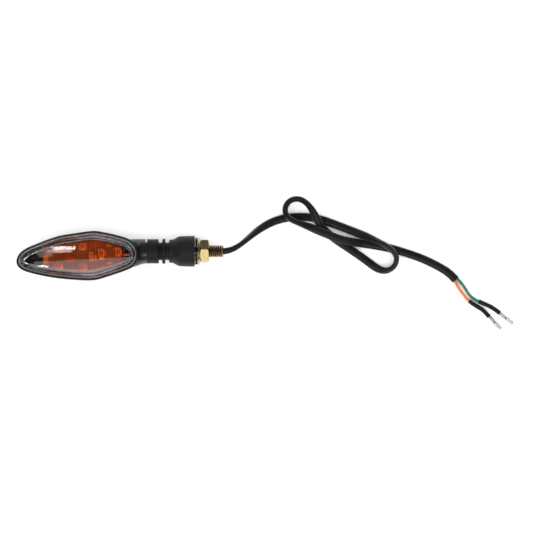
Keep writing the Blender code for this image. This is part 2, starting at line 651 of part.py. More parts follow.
def hang(name, x, nodes):
    """Parents the nodes to an empty on the stalk's axis, where the rubber bends."""
    pivot = bpy.data.objects.new(name, None)
    indicator.objects.link(pivot)
    pivot.location = Vector((x, AXIS_Y, AXIS_Z)) * MM
    for node in nodes:
        node.parent = pivot
        node.matrix_parent_inverse = Matrix.Translation(-pivot.location)


clear_scene()
indicator = new_collection("turn_signal_indicator")
cutters = new_collection("cutters", hidden=True)
housing()
gasket()
outer_lens()
inner_lens()
circuit_board()
leds()
board_parts()
inner_leads()
hang("front_bend", (COLLAR_END + RIB_START) / 2, list(indicator.objects))
stalk()
hollow_bolt()
lock_washer()
flat_washer()
hex_nut()
cable()
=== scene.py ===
"""The looks of the turn signal indicator: meshes, materials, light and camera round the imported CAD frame.

Lengths are in millimetres in the row frame, and meshes and cord paths are made in metres.
"""

import math
import bmesh
import bpy
import numpy as np
from mathutils import Matrix, Vector


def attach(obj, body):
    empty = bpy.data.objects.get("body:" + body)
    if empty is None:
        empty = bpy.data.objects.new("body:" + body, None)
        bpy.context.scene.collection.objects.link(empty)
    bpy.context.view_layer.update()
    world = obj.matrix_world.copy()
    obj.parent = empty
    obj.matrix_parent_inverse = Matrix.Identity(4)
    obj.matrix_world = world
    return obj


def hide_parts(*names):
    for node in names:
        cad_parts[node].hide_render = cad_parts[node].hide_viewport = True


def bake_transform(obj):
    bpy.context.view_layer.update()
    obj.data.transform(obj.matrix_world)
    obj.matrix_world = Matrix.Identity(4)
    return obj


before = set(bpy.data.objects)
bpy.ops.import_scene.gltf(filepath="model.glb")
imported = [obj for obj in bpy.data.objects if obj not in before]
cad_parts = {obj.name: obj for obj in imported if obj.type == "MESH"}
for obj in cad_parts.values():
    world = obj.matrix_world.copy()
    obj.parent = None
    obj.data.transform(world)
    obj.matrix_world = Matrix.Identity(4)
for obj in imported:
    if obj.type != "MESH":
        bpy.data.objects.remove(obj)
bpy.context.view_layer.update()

MM = 0.001

# Sizes repeated from the CAD source.
HEAD_OUTLINE = (
    (14.1, 2.0), (9.6, 10.7), (2.0, 14.5), (-11.0, 17.6), (-20.0, 18.7), (-33.0, 17.1), (-46.0, 14.9),
    (-63.0, 8.8), (-74.4, 2.8), (-77.8, -4.2), (-75.3, -9.4), (-66.4, -13.2), (-49.5, -16.6),
    (-34.0, -18.2), (-20.5, -18.6), (-12.5, -16.9), (4.0, -11.4), (11.4, -7.0),
)
HEAD_MIDDLE = (-25.0, 0.0)
CREST_X = -18.0
TIP_RISE, RISE_FROM_X, RISE_TO_X = 0.35, -40.0, -78.0
WALL, LEDGE_Z, RIM_TOP, RIM_LIP = 2.0, 18.2, 21.0, 1.4
FLANGE_INSET, FLANGE_BOTTOM, FLANGE_TOP = 1.7, 19.4, 21.3
LENS_FOOT_INSET, SHOULDER_INSET, LENS_WALL, FACET_SLOPE = 2.1, 5.0, 1.6, 0.27
CROWN_BAND = ((-66.0, -3.6, 1.0, 25.2), (CREST_X, -0.2, 2.0, 30.4), (9.0, 1.4, 2.5, 26.4))
AMBER_INSET, AMBER_WALL, AMBER_ENDS = 5.4, 1.0, (-59.5, 2.5)
AMBER_BOTTOM, AMBER_TOP = 12.9, 21.8
LED_RADIUS, LED_FLANGE_RADIUS, LED_FOOT, LED_HEIGHT = 2.5, 2.9, 12.9, 7.1
LED_PLACES = ((-45.5, -7.6), (-27.0, -8.0), (-45.5, 5.3), (-27.5, 6.8), (-14.5, 1.3), (-1.8, 2.6))
AXIS_Y, AXIS_Z = 3.4, 11.65
STEM_RADIUS, STEM_END, SPIGOT_RADIUS, SPIGOT_END, STEM_BORE = 9.2, 20.5, 6.0, 26.5, 4.0
NECK_BORE, CORE_RADIUS, COLLAR_END = 3.2, 6.6, 29.1
RIB_START, RIB_END, RIB_RADIUS = 31.9, 34.1, 9.5
BELL_START, BELL_END, BELL_RADIUS = 37.1, 56.3, 11.65
THREAD_RADIUS, THREAD_ROOT, THREAD_PITCH = 5.0, 4.2, 1.5
THREAD_START, BOLT_END, BOLT_BORE = 60.0, 77.85, 2.9
PLATE_RADIUS, PLATE_START, PLATE_END = 8.4, 46.0, 49.0
LOCK_WASHER, LOCK_TEETH, LOCK_RADIUS, LOCK_VALLEY = (56.6, 58.7), 16, 10.0, 8.7
FLAT_WASHER, FLAT_RADIUS = (59.0, 60.1), 10.4
NUT, NUT_FLATS, NUT_TURN = (60.4, 67.1), 16.0, math.radians(-8)
CABLE_ROUTE = (
    (66.0, 3.4, 11.65), (72.0, 3.4, 11.65), (78.0, 3.4, 11.65), (84.5, 4.9, 11.0), (91.5, 9.0, 8.8),
    (99.0, 15.2, 5.4), (107.5, 21.6, 3.2), (117.0, 26.4, 2.6), (127.5, 29.0, 2.6), (139.0, 29.4, 2.6),
    (150.5, 27.8, 2.6), (162.0, 24.0, 2.6), (174.0, 19.4, 3.0), (185.0, 15.0, 5.6), (195.0, 10.8, 8.2),
    (203.4, 6.0, 8.8), (208.4, 0.0, 7.6), (208.0, -6.3, 5.6), (203.0, -10.8, 4.0), (196.3, -10.4, 2.8),
    (188.8, -5.6, 2.6), (180.0, 0.8, 2.6), (171.5, 6.6, 2.6), (163.5, 12.0, 2.6), (156.3, 17.8, 3.5),
    (150.3, 24.8, 7.1), (146.2, 32.4, 8.8), (141.2, 39.4, 8.2), (134.9, 42.9, 7.0), (128.4, 41.6, 6.6),
    (124.8, 36.4, 7.0), (125.8, 30.6, 8.2), (130.8, 26.6, 8.8), (139.5, 23.2, 9.0), (148.5, 19.5, 9.7),
    (157.5, 15.8, 9.2), (165.0, 13.0, 8.3), (173.5, 10.9, 5.8), (183.0, 9.3, 3.0), (194.0, 7.6, 2.6),
    (206.0, 5.2, 2.6), (217.0, 1.9, 2.6), (228.0, -2.0, 2.6), (238.5, -6.9, 2.6), (247.5, -12.2, 2.6),
    (254.0, -18.2, 2.6),
)
CABLE_DIAMETER, WIRE_DIAMETER, INSULATOR_DIAMETER = 5.0, 2.2, 3.3
WIRE_ROUTES = {
    "green": ((255.4, -17.6, 2.5), (259.2, -21.9, 1.9), (262.2, -26.4, 1.4), (264.8, -30.0, 1.2),
              (267.9, -32.7, 1.3), (271.0, -34.4, 1.7)),
    "orange": ((253.5, -19.6, 2.5), (256.0, -24.1, 1.9), (259.0, -28.3, 1.4), (261.4, -31.4, 1.3),
               (263.8, -34.0, 1.7)),
}
INSULATOR_ROUTES = {
    "green": ((271.4, -34.5, 1.75), (276.4, -36.7, 1.75), (280.8, -38.8, 1.75), (284.8, -41.4, 1.75),
              (287.3, -43.4, 1.75)),
    "orange": ((264.1, -34.2, 1.75), (269.4, -38.0, 1.75), (274.0, -40.8, 1.75), (277.0, -43.6, 1.75),
               (279.4, -46.2, 1.75)),
}

# Sizes that only the looks have.
LEAF_POINTS, STALK_POINTS, NUT_POINTS, THREAD_POINTS, LED_POINTS, TERMINAL_POINTS = 360, 96, 144, 72, 48, 40
STEM_STATIONS = (
    (7.0, 1.7, 10.8, 8.2, 9.7), (12.6, 2.5, 10.2, 8.4, 9.6), (14.6, 2.9, 9.8, 8.9, 10.6),
    (17.0, 3.2, 9.4, 9.1, 11.4), (19.0, AXIS_Y, STEM_RADIUS, STEM_RADIUS, AXIS_Z),
)
KEY_SLOT_START, KEY_SLOT_DEPTH, STEM_BORE_START = 19.15, 2.4, 8.0
CORE_FILLET = 0.5
EVENING_SHIFTS, CROWN_FLATNESS = range(-4, 5), 6.0
# The two steps in the lens wall: share of the way up from its foot, and how far it stands off the slope.
LENS_STEPS = ((0.74, 0.5), (0.64, -0.3), (0.36, 0.45), (0.26, -0.25))
RIB_DEPTH, RIB_SPACING, RELIEF_FADE = 0.05, 1.8, 0.12
LED_PAD_RADIUS, LED_PAD_BLUR, LED_RING_HEIGHT, LED_RING_WIDTH, LED_CUP_RADIUS = 3.3, 0.12, 0.3, 0.35, 1.5
LED_MIDDLE = 0.05
THREAD_STEP, FLANK_SLOPE, FLANK_SHIFT, BOLT_TIP_CHAMFER, BORE_CHAMFER = 0.1, 2.7, 0.25, 0.3, 0.35
TOOTH_STEPS, TOOTH_LEAN = 12, 0.3
NUT_CHAMFER, NUT_CHAMFER_SLOPE, NUT_FACE_INSET = 0.9, 1.73, 0.2
NUT_BORE, NUT_MOUTH, NUT_MOUTH_DEPTH = 5.3, 5.9, 0.7
CORD_CLEARANCE = 0.05
CABLE_POINTS, CABLE_SIDES = 380, 32
SLEEVE_WIDTH, SLEEVE_HEIGHT, SLEEVE_WALL, SLEEVE_SETTLING, SLEEVE_LIP = 6.2, 4.2, 0.7, 0.35, 0.15
# Along the sleeve: distance, quarter turns of its wide side from lying flat, and how oval it is from 0 to 1.
SLEEVE_TURNS = ((0, 1, 0.0), (14, 1, 0.0), (26, 1, 1.0), (60, 0, 1.0), (128, 0, 1.0), (146, 1, 1.0),
                (168, 1, 1.0), (186, 0, 1.0), (238, 0, 1.0), (256, 0.8, 1.0), (292, 0.8, 1.0),
                (310, 0, 1.0), (430, 0, 1.0))
WIRE_HIDDEN, CABLE_END_AIM = 3.0, (0.73, -0.68, 0.0)
INSULATOR_WALL, INSULATOR_WAIST = 0.45, 0.05
TERMINAL_PROFILE = (
    (0.0, 1.0), (0.0, 1.5), (4.6, 1.5), (5.0, 1.3), (5.6, 1.3), (6.0, 1.6), (12.3, 1.6), (12.55, 1.45),
    (12.6, 1.2), (12.3, 1.05), (8.0, 1.0),
)
TERMINAL_WALL_END, TERMINAL_WALL_RADIUS = 12.4, 1.2
TERMINAL_GAP, SEAM_WIDTH, SEAM_DEPTH, FAINT_SEAM_DEPTH = 0.3, 0.22, 0.3, 0.1


# Curves and rings, as rows of numpy arrays.


def spline(points, closed=False, steps=24):
    """A smooth cubic curve through the points, read at many places."""
    p = np.array(points, float)
    if closed:
        p = np.concatenate([p[-3:], p, p[:4]])
    knots = np.concatenate([[0], np.cumsum(np.sqrt(np.linalg.norm(np.diff(p, axis=0), axis=1)))])
    gaps = np.diff(knots)
    slopes = np.diff(p, axis=0) / gaps[:, None]
    system = np.eye(len(p))
    right = np.zeros_like(p)
    for i in range(1, len(p) - 1):
        system[i, i - 1 : i + 2] = gaps[i - 1], 2 * (gaps[i - 1] + gaps[i]), gaps[i]
        right[i] = 6 * (slopes[i] - slopes[i - 1])
    bends = np.linalg.solve(system, right)
    rows = []
    for i in range(3, len(p) - 4) if closed else range(len(p) - 1):
        for t in np.arange(steps) / steps:
            bend = ((1 - t) ** 3 - (1 - t)) * bends[i] + (t**3 - t) * bends[i + 1]
            rows.append((1 - t) * p[i] + t * p[i + 1] + gaps[i] ** 2 / 6 * bend)
    rows.append(rows[0] if closed else p[-1])
    return np.array(rows)


def distances(line):
    """How far along the line each of its points is."""
    return np.concatenate([[0], np.cumsum(np.linalg.norm(np.diff(line, axis=0), axis=1))])


def evenly(line, count):
    """count points at equal steps along the line, both ends included."""
    along = distances(line)
    places = np.linspace(0, along[-1], count)
    return np.stack([np.interp(places, along, column) for column in line.T], axis=1)


def inset(outline, depth):
    """The closed outline moved inwards, without the loops that tight corners would make."""
    ahead = np.roll(outline, -1, axis=0) - np.roll(outline, 1, axis=0)
    inwards = np.stack([-ahead[:, 1], ahead[:, 0]], axis=1) / np.linalg.norm(ahead, axis=1)[:, None]
    moved = outline + depth * inwards
    clear = np.linalg.norm(moved[:, None] - outline[None], axis=2).min(axis=1)
    return moved[clear > 0.98 * depth - 0.02]


HEAD_LEAF = evenly(spline(HEAD_OUTLINE, closed=True), 601)[:-1]


def leaf(depth, ends=None):
    """The head's outline moved inwards, as LEAF_POINTS points, and cut off square at the ends' x."""
    moved = inset(HEAD_LEAF, depth)
    turn = np.abs(np.arctan2(moved[:, 1] - HEAD_MIDDLE[1], moved[:, 0] - HEAD_MIDDLE[0]))
    moved = np.roll(moved, -turn.argmin(), axis=0)
    ring = evenly(np.concatenate([moved, moved[:1]]), LEAF_POINTS + 1)[:-1]
    if ends:
        ring[:, 0] = ring[:, 0].clip(*ends)
    return ring


def at_height(ring, z):
    return np.column_stack([ring, np.full(len(ring), float(z))])


def risen(ring):
    """The ring with what lies below the ledge lifted towards the head's tip."""
    share = ((RISE_FROM_X - ring[:, 0]) / (RISE_FROM_X - RISE_TO_X)).clip(0, 1)
    lift = (LEDGE_Z - ring[:, 2]).clip(0) * TIP_RISE * share**2 * (3 - 2 * share)
    return ring + np.column_stack([np.zeros((len(ring), 2)), lift])


def softened(rings, reach, hoop=False, steps=4):
    """Rings whose edges are rounded: each inner ring becomes a few, on a small curve through its corner."""
    count = len(rings)
    rows = []
    for i, corner in enumerate(rings):
        if not hoop and i in (0, count - 1):
            rows.append(corner)
            continue
        sides = []
        for other in (rings[i - 1], rings[(i + 1) % count]):
            edge = other - corner
            length = np.linalg.norm(edge, axis=1)[:, None].clip(1e-9)
            sides.append(corner + edge * np.minimum(reach / length, 0.45))
        for t in np.linspace(0, 1, steps):
            rows.append((1 - t) ** 2 * sides[0] + 2 * t * (1 - t) * corner + t**2 * sides[1])
    return rows


def wheel(x, radius, count):
    """A ring round the stalk's axis. radius is a number or one for each point."""
    turns = math.tau * np.arange(count) / count
    return np.column_stack([
        np.full(count, float(x)), AXIS_Y + radius * np.cos(turns), AXIS_Z + radius * np.sin(turns)
    ])


def frames(line):
    """Unit vectors along, beside and above a path that is never upright."""
    ahead = np.gradient(line, axis=0)
    ahead /= np.linalg.norm(ahead, axis=1)[:, None]
    beside = np.cross(ahead, [0.0, 0.0, 1.0])
    beside /= np.linalg.norm(beside, axis=1)[:, None]
    return ahead, beside, np.cross(beside, ahead)


def swept(line, half_widths, half_heights, quarter_turns, count):
    """Rings of an oval section along a path."""
    _, beside, above = frames(line)
    turns = math.tau * np.arange(count) / count
    rings = []
    for i, point in enumerate(line):
        tilt = quarter_turns[i] * math.pi / 2
        wide = math.cos(tilt) * beside[i] + math.sin(tilt) * above[i]
        narrow = -math.sin(tilt) * beside[i] + math.cos(tilt) * above[i]
        across = half_widths[i] * np.cos(turns)[:, None] * wide
        upwards = half_heights[i] * np.sin(turns)[:, None] * narrow
        rings.append(point + across + upwards)
    return rings


# Materials.


def shader_of(material):
    return material.node_tree.nodes["Principled BSDF"]


def new_material(name, color, roughness, **inputs):
    material = bpy.data.materials.new(name)
    material.use_nodes = True
    shader = shader_of(material)
    shader.inputs["Base Color"].default_value = (*color, 1)
    shader.inputs["Roughness"].default_value = roughness
    for socket, value in inputs.items():
        shader.inputs[socket.replace("_", " ")].default_value = value
    return material


def node(material, kind, **values):
    made = material.node_tree.nodes.new(kind)
    for name, value in values.items():
        if hasattr(made, name):
            setattr(made, name, value)
        else:
            made.inputs[name.replace("_", " ")].default_value = value
    return made


def wire_up(material, source, target):
    material.node_tree.links.new(source, target)


def place(material):
    """Where on the object a point is, in metres."""
    return node(material, "ShaderNodeTexCoord").outputs["Object"]


def noise(material, per_metre, detail=3.0):
    texture = node(material, "ShaderNodeTexNoise", Scale=per_metre, Detail=detail)
    wire_up(material, place(material), texture.inputs["Vector"])
    return texture.outputs["Fac"]


def ramp(material, source, stops):
    made = node(material, "ShaderNodeValToRGB")
    while len(made.color_ramp.elements) < len(stops):
        made.color_ramp.elements.new(0.5)
    for element, (position, color) in zip(made.color_ramp.elements, stops):
        element.position = position
        element.color = (*color, 1)
    wire_up(material, source, made.inputs["Fac"])
    return made.outputs["Color"]


def spread(material, source, low, high, socket):
    """Drives one of the shader's sockets between low and high."""
    made = node(material, "ShaderNodeMapRange")
    made.inputs["From Min"].default_value, made.inputs["From Max"].default_value = 0.3, 0.7
    made.inputs["To Min"].default_value, made.inputs["To Max"].default_value = low, high
    wire_up(material, source, made.inputs["Value"])
    wire_up(material, made.outputs["Result"], shader_of(material).inputs[socket])


def bump(material, source, strength, height):
    made = node(material, "ShaderNodeBump")
    made.inputs["Strength"].default_value = strength
    made.inputs["Distance"].default_value = height
    wire_up(material, source, made.inputs["Height"])
    wire_up(material, made.outputs["Normal"], shader_of(material).inputs["Normal"])


def coloured(material, source, stops):
    wire_up(material, ramp(material, source, stops), shader_of(material).inputs["Base Color"])


def moulded(name, dark, light, rough, grain, **inputs):
    """A moulded plastic or rubber: two close tones, uneven gloss and a fine grain of the given size in mm."""
    material = new_material(name, dark, rough[0], **inputs)
    coloured(material, noise(material, 90), [(0.35, dark), (0.65, light)])
    spread(material, noise(material, 260, 4), *rough, "Roughness")
    bump(material, noise(material, 1000 / grain, 2), 0.25, 0.00004)
    return material


def plated(name, stops, rough, patch):
    """Plated steel whose tint wanders over patches of the given size in mm."""
    material = new_material(name, stops[0][1], rough[0], Metallic=1.0)
    coloured(material, noise(material, 1000 / patch, 2), stops)
    spread(material, noise(material, 700, 4), *rough, "Roughness")
    bump(material, noise(material, 1800, 3), 0.2, 0.00002)
    return material


def lets_lamps_through(material, tint):
    """Lamps shine through the clear material instead of being shut out by it."""
    path = node(material, "ShaderNodeLightPath")
    open_air = node(material, "ShaderNodeBsdfTransparent", Color=(*tint, 1))
    mix = node(material, "ShaderNodeMixShader")
    wire_up(material, path.outputs["Is Shadow Ray"], mix.inputs[0])
    wire_up(material, shader_of(material).outputs[0], mix.inputs[1])
    wire_up(material, open_air.outputs[0], mix.inputs[2])
    wire_up(material, mix.outputs[0], material.node_tree.nodes["Material Output"].inputs["Surface"])


housing_plastic = moulded(
    "housing_plastic", (0.005, 0.005, 0.0055), (0.009, 0.009, 0.0095), (0.22, 0.34), 0.5,
)
stalk_rubber = moulded(
    "stalk_rubber", (0.005, 0.005, 0.0053), (0.009, 0.009, 0.0093), (0.46, 0.6), 0.6, Specular_IOR_Level=0.2,
)
gasket_foam = moulded("gasket_foam", (0.2, 0.2, 0.2), (0.3, 0.3, 0.3), (0.8, 0.95), 0.8)
cable_pvc = moulded(
    "cable_pvc", (0.005, 0.0048, 0.0045), (0.01, 0.0095, 0.009), (0.26, 0.4), 1.2, Specular_IOR_Level=0.25,
)
insulator_pvc = moulded(
    "insulator_pvc", (0.005, 0.005, 0.005), (0.009, 0.009, 0.009), (0.3, 0.5), 0.8, Specular_IOR_Level=0.25,
)
green_pvc = moulded("green_pvc", (0.0, 0.1, 0.055), (0.004, 0.15, 0.09), (0.3, 0.45), 0.8)
orange_pvc = moulded("orange_pvc", (0.54, 0.1, 0.03), (0.66, 0.14, 0.045), (0.3, 0.45), 0.8)
resistor_body = moulded("resistor_body", (0.62, 0.55, 0.4), (0.78, 0.72, 0.58), (0.4, 0.6), 0.4)
diode_body = moulded("diode_body", (0.5, 0.2, 0.08), (0.62, 0.28, 0.12), (0.1, 0.25), 0.4)
led_resin = moulded("led_resin", (0.95, 0.84, 0.62), (1.0, 0.93, 0.76), (0.06, 0.14), 1.5)
led_cup = moulded("led_cup", (0.42, 0.26, 0.12), (0.52, 0.34, 0.18), (0.2, 0.35), 0.8)

yellow_zinc = plated(
    "yellow_zinc",
    [(0.25, (0.46, 0.31, 0.12)), (0.42, (0.47, 0.35, 0.15)), (0.55, (0.4, 0.36, 0.17)),
     (0.66, (0.48, 0.28, 0.16)), (0.8, (0.48, 0.34, 0.13))],
    (0.14, 0.26), 3.0,
)

# The bolt's colour goes by how far a point is from its axis: painted shade, near black, in the thread's
# valleys, and a painted highlight on its crests.
bolt_zinc = new_material("bolt_zinc", (0.5, 0.38, 0.2), 0.25, Metallic=1.0)
from_axis = node(bolt_zinc, "ShaderNodeVectorMath", operation="MULTIPLY_ADD")
from_axis.inputs[1].default_value = (0, 1, 1)
from_axis.inputs[2].default_value = (0, -AXIS_Y * MM, -AXIS_Z * MM)
wire_up(bolt_zinc, place(bolt_zinc), from_axis.inputs[0])
thread_radius = node(bolt_zinc, "ShaderNodeVectorMath", operation="LENGTH")
wire_up(bolt_zinc, from_axis.outputs["Vector"], thread_radius.inputs[0])
crest = node(bolt_zinc, "ShaderNodeMapRange")
crest.inputs["From Min"].default_value = THREAD_ROOT * MM
crest.inputs["From Max"].default_value = THREAD_RADIUS * MM
wire_up(bolt_zinc, thread_radius.outputs["Value"], crest.inputs["Value"])
# Painted shade in the thread's valleys and a painted highlight on its crests.
coloured(bolt_zinc, crest.outputs["Result"], [(0.25, (0.03, 0.018, 0.008)), (0.85, (0.62, 0.47, 0.26))])
spread(bolt_zinc, noise(bolt_zinc, 300), 0.2, 0.34, "Roughness")

black_steel = plated(
    "black_steel", [(0.3, (0.03, 0.03, 0.031)), (0.7, (0.06, 0.058, 0.055))], (0.35, 0.6), 1.5,
)
screw_steel = plated("screw_steel", [(0.3, (0.6, 0.58, 0.54)), (0.7, (0.74, 0.72, 0.68))], (0.5, 0.65), 1.0)
shader_of(screw_steel).inputs["Metallic"].default_value = 0.35
tinned_brass = plated(
    "tinned_brass", [(0.3, (0.66, 0.63, 0.56)), (0.7, (0.82, 0.8, 0.76))], (0.2, 0.38), 1.6,
)

clear_lens = new_material("clear_lens", (1.0, 1.0, 1.0), 0.0, Transmission_Weight=1.0, IOR=1.5)
spread(clear_lens, noise(clear_lens, 60), 0.0, 0.03, "Roughness")
lets_lamps_through(clear_lens, (0.9, 0.9, 0.9))

amber_lens = new_material("amber_lens", (0.9, 0.3, 0.06), 0.1, Transmission_Weight=1.0, IOR=1.5)
ribs = node(amber_lens, "ShaderNodeTexWave", Scale=165.0, Distortion=1.5, Detail=1.0, Detail_Scale=0.5)
wire_up(amber_lens, place(amber_lens), ribs.inputs["Vector"])
coloured(amber_lens, ribs.outputs["Fac"], [(0.2, (0.78, 0.25, 0.03)), (0.8, (0.97, 0.43, 0.09))])
spread(amber_lens, noise(amber_lens, 500, 4), 0.02, 0.08, "Roughness")
lets_lamps_through(amber_lens, (0.93, 0.56, 0.2))

board_white = new_material("board_white", (0.7, 0.7, 0.66), 0.4)
tracks = node(
    board_white, "ShaderNodeTexBrick", Scale=220.0, Mortar_Size=0.05, Brick_Width=1.3, Row_Height=0.4,
)
wire_up(board_white, place(board_white), tracks.inputs["Vector"])
tracks.inputs["Color1"].default_value = (0.34, 0.33, 0.3, 1)
tracks.inputs["Color2"].default_value = (0.26, 0.25, 0.23, 1)
tracks.inputs["Mortar"].default_value = (0.16, 0.15, 0.13, 1)
wire_up(board_white, tracks.outputs["Color"], shader_of(board_white).inputs["Base Color"])
spread(board_white, noise(board_white, 400), 0.3, 0.5, "Roughness")


# Meshes.


def skin(rings, hoop=False):
    """Points and faces through rings of equally many points, capped at both ends or joined into a hoop."""
    count = len(rings[0])
    pairs = [(i, i + 1) for i in range(len(rings) - 1)]
    faces = []
    if hoop:
        pairs.append((len(rings) - 1, 0))
    else:
        faces += [tuple(range(count)), tuple(range((len(rings) - 1) * count, len(rings) * count))]
    for low, high in pairs:
        for i in range(count):
            j = (i + 1) % count
            faces.append((low * count + i, low * count + j, high * count + j, high * count + i))
    return np.concatenate(rings), faces


def piece(name, shape, material, stands_for, body=None, sharp=30, matrix=None):
    """A mesh of the object, in place of CAD nodes. It rides on the body, or is left unattached without one.
    """
    points, faces = shape
    builder = bmesh.new()
    places = [builder.verts.new(point) for point in (np.asarray(points) * MM).tolist()]
    for face in faces:
        builder.faces.new([places[i] for i in face])
    bmesh.ops.remove_doubles(builder, verts=builder.verts, dist=1e-6)
    bmesh.ops.recalc_face_normals(builder, faces=builder.faces)
    mesh = bpy.data.meshes.new(name)
    builder.to_mesh(mesh)
    builder.free()
    mesh.shade_smooth()
    mesh.set_sharp_from_angle(angle=math.radians(sharp))
    mesh.materials.append(material)
    if matrix is not None:
        mesh.transform(matrix)
    obj = bpy.data.objects.new(name, mesh)
    bpy.context.scene.collection.objects.link(obj)
    if body:
        crisp = obj.modifiers.new("flat faces stay flat", "WEIGHTED_NORMAL")
        crisp.keep_sharp = True
        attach(obj, body)
    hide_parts(*stands_for)
    return obj


# Camera, which looks straight down at FRAME_WIDTH millimetres of the plane at FRAME_HEIGHT.

FRAME_WIDTH, FRAME_HEIGHT, FRAME_MIDDLE = 402.4, 12.0, (110.5, -8.1)
FOCAL_LENGTH, CLIP_END = 200, 20
camera = bpy.data.objects.new("camera", bpy.data.cameras.new("camera"))
bpy.context.scene.collection.objects.link(camera)
bpy.context.scene.camera = camera
camera.data.lens = FOCAL_LENGTH
camera.data.clip_end = CLIP_END
camera_height = FRAME_HEIGHT + FRAME_WIDTH * camera.data.lens / camera.data.sensor_width
camera.location = Vector((*FRAME_MIDDLE, camera_height)) * MM


# The cable and its wires.


def laid(route, radius):
    """The cord's centreline as the CAD has it."""
    line = spline(route)
    line[:, 2] = line[:, 2].clip(radius + CORD_CLEARANCE)
    return line


def cable():
    """The sleeve: an oval tube that lies in a loop, round at both ends and hollow at its far one."""
    centre = evenly(laid(CABLE_ROUTE, CABLE_DIAMETER / 2), CABLE_POINTS)
    along = distances(centre)
    places, quarter_turns, shares = zip(*SLEEVE_TURNS)
    quarter = np.interp(along, places, quarter_turns)
    oval = np.interp(along, places, shares)
    half_width = CABLE_DIAMETER / 2 + (SLEEVE_WIDTH - CABLE_DIAMETER) / 2 * oval
    half_height = CABLE_DIAMETER / 2 + (SLEEVE_HEIGHT - CABLE_DIAMETER) / 2 * oval
    line = centre.copy()
    tilt = quarter * math.pi / 2
    reach = np.sqrt((half_width * np.sin(tilt)) ** 2 + (half_height * np.cos(tilt)) ** 2)
    line[:, 2] = np.maximum(line[:, 2] - SLEEVE_SETTLING * oval * (1 - quarter), reach + CORD_CLEARANCE)
    outer = swept(line, half_width, half_height, quarter, CABLE_SIDES)
    inside = slice(-6, None)
    mouth = swept(
        line[inside], half_width[inside] - SLEEVE_WALL, half_height[inside] - SLEEVE_WALL, quarter[inside],
        CABLE_SIDES,
    )
    last = line[-1] - line[-2]
    end = outer[-1] + SLEEVE_LIP * last / np.linalg.norm(last)
    rings = [*outer, 0.5 * (end + mouth[-1]), *mouth[::-1]]
    sleeve = piece("cable_skin", skin(rings), cable_pvc, ["cable_sleeve"], "mount", sharp=50)


def terminal(colour, base, ahead):
    """A crimped terminal: a folded barrel, a short neck, and a slotted socket with an open tip."""
    turns = math.tau * np.arange(TERMINAL_POINTS) / TERMINAL_POINTS
    from_top = np.angle(np.exp(1j * (turns - math.pi / 2)))
    seam = np.exp(-((from_top / SEAM_WIDTH) ** 2))
    rings = []
    for x, radius in TERMINAL_PROFILE:
        on_the_outside = 0 < x < TERMINAL_WALL_END and radius > TERMINAL_WALL_RADIUS
        r = radius - (SEAM_DEPTH if on_the_outside else FAINT_SEAM_DEPTH) * seam
        rings.append(np.column_stack([np.full(TERMINAL_POINTS, x), r * np.cos(turns), r * np.sin(turns)]))
    turned_ahead = Vector(ahead).to_track_quat("X", "Z").to_matrix().to_4x4()
    matrix = Matrix.Translation(Vector(base) * MM) @ turned_ahead
    return piece(
        f"{colour}_bullet", skin(softened(rings, 0.25)), tinned_brass, [f"{colour}_terminal"],
        "mount", matrix=matrix,
    )


def insulator(colour):
    """The black tube over a wire's end, slightly narrower along its middle and hollow at both ends."""
    line = evenly(laid(INSULATOR_ROUTES[colour], INSULATOR_DIAMETER / 2), 40)
    along = distances(line)
    places = [0, 1, along[-1] - 4, along[-1]]
    radius = INSULATOR_DIAMETER / 2 + np.interp(along, places, [0, -INSULATOR_WAIST, -INSULATOR_WAIST, 0.0])
    bore = radius - INSULATOR_WALL
    level = np.zeros(len(along))
    outer = swept(line, radius, radius, level, 28)
    mouth = swept(line[-8:], bore[-8:], bore[-8:], level, 28)
    throat = swept(line[:5], bore[:5], bore[:5], level, 28)
    rings = [*throat[::-1], *outer, *mouth[::-1]]
    return piece(
        f"{colour}_cover", skin(softened(rings, 0.12, steps=2)), insulator_pvc,
        [f"{colour}_insulator"], "mount", sharp=50,
    )


def wires():
    """Each wire with the insulator and the terminal on its end."""
    looks = {"green": (green_pvc, "green_pvc"), "orange": (orange_pvc, "orange_pvc")}
    for colour, (look, slot) in looks.items():
        cover = insulator(colour)
        before, last = (Vector(point) for point in INSULATOR_ROUTES[colour][-2:])
        ahead = (last - before).normalized()
        bullet = terminal(colour, last + TERMINAL_GAP * ahead, ahead)
        start = np.array(WIRE_ROUTES[colour][0])
        inside_cable = start - WIRE_HIDDEN * np.array(CABLE_END_AIM)
        route = [inside_cable, *WIRE_ROUTES[colour], *INSULATOR_ROUTES[colour][1:-1]]
        line = evenly(laid(route, WIRE_DIAMETER / 2), 70)
        half = np.full(len(line), WIRE_DIAMETER / 2)
        wire = piece(
            f"{colour}_wire_skin", skin(swept(line, half, half, half * 0, 20)), look,
            [f"{colour}_wire"], "mount", sharp=50,
        )


# The lamp head.


def housing():
    """The bowl-shaped shell, with the ledge under the lens's gasket."""
    outside = ((11.0, 0.0), (9.0, 0.9), (6.6, 2.8), (4.2, 5.8), (2.2, 9.8), (0.9, 14.2), (0.2, 18.0),
               (0.0, 20.2), (0.15, 20.8), (0.55, RIM_TOP), (1.1, RIM_TOP), (RIM_LIP, 20.7))
    inside = ((RIM_LIP, LEDGE_Z), (3.5, LEDGE_Z), (3.8, 13.8), (4.8, 9.8), (6.6, 6.4), (8.8, 4.0),
              (11.0, WALL + 0.6))
    rings = [risen(at_height(leaf(depth), z)) for depth, z in outside + inside]
    shape = skin(softened(rings, 0.5))
    piece("shell", shape, housing_plastic, ["housing"], "head", sharp=40)


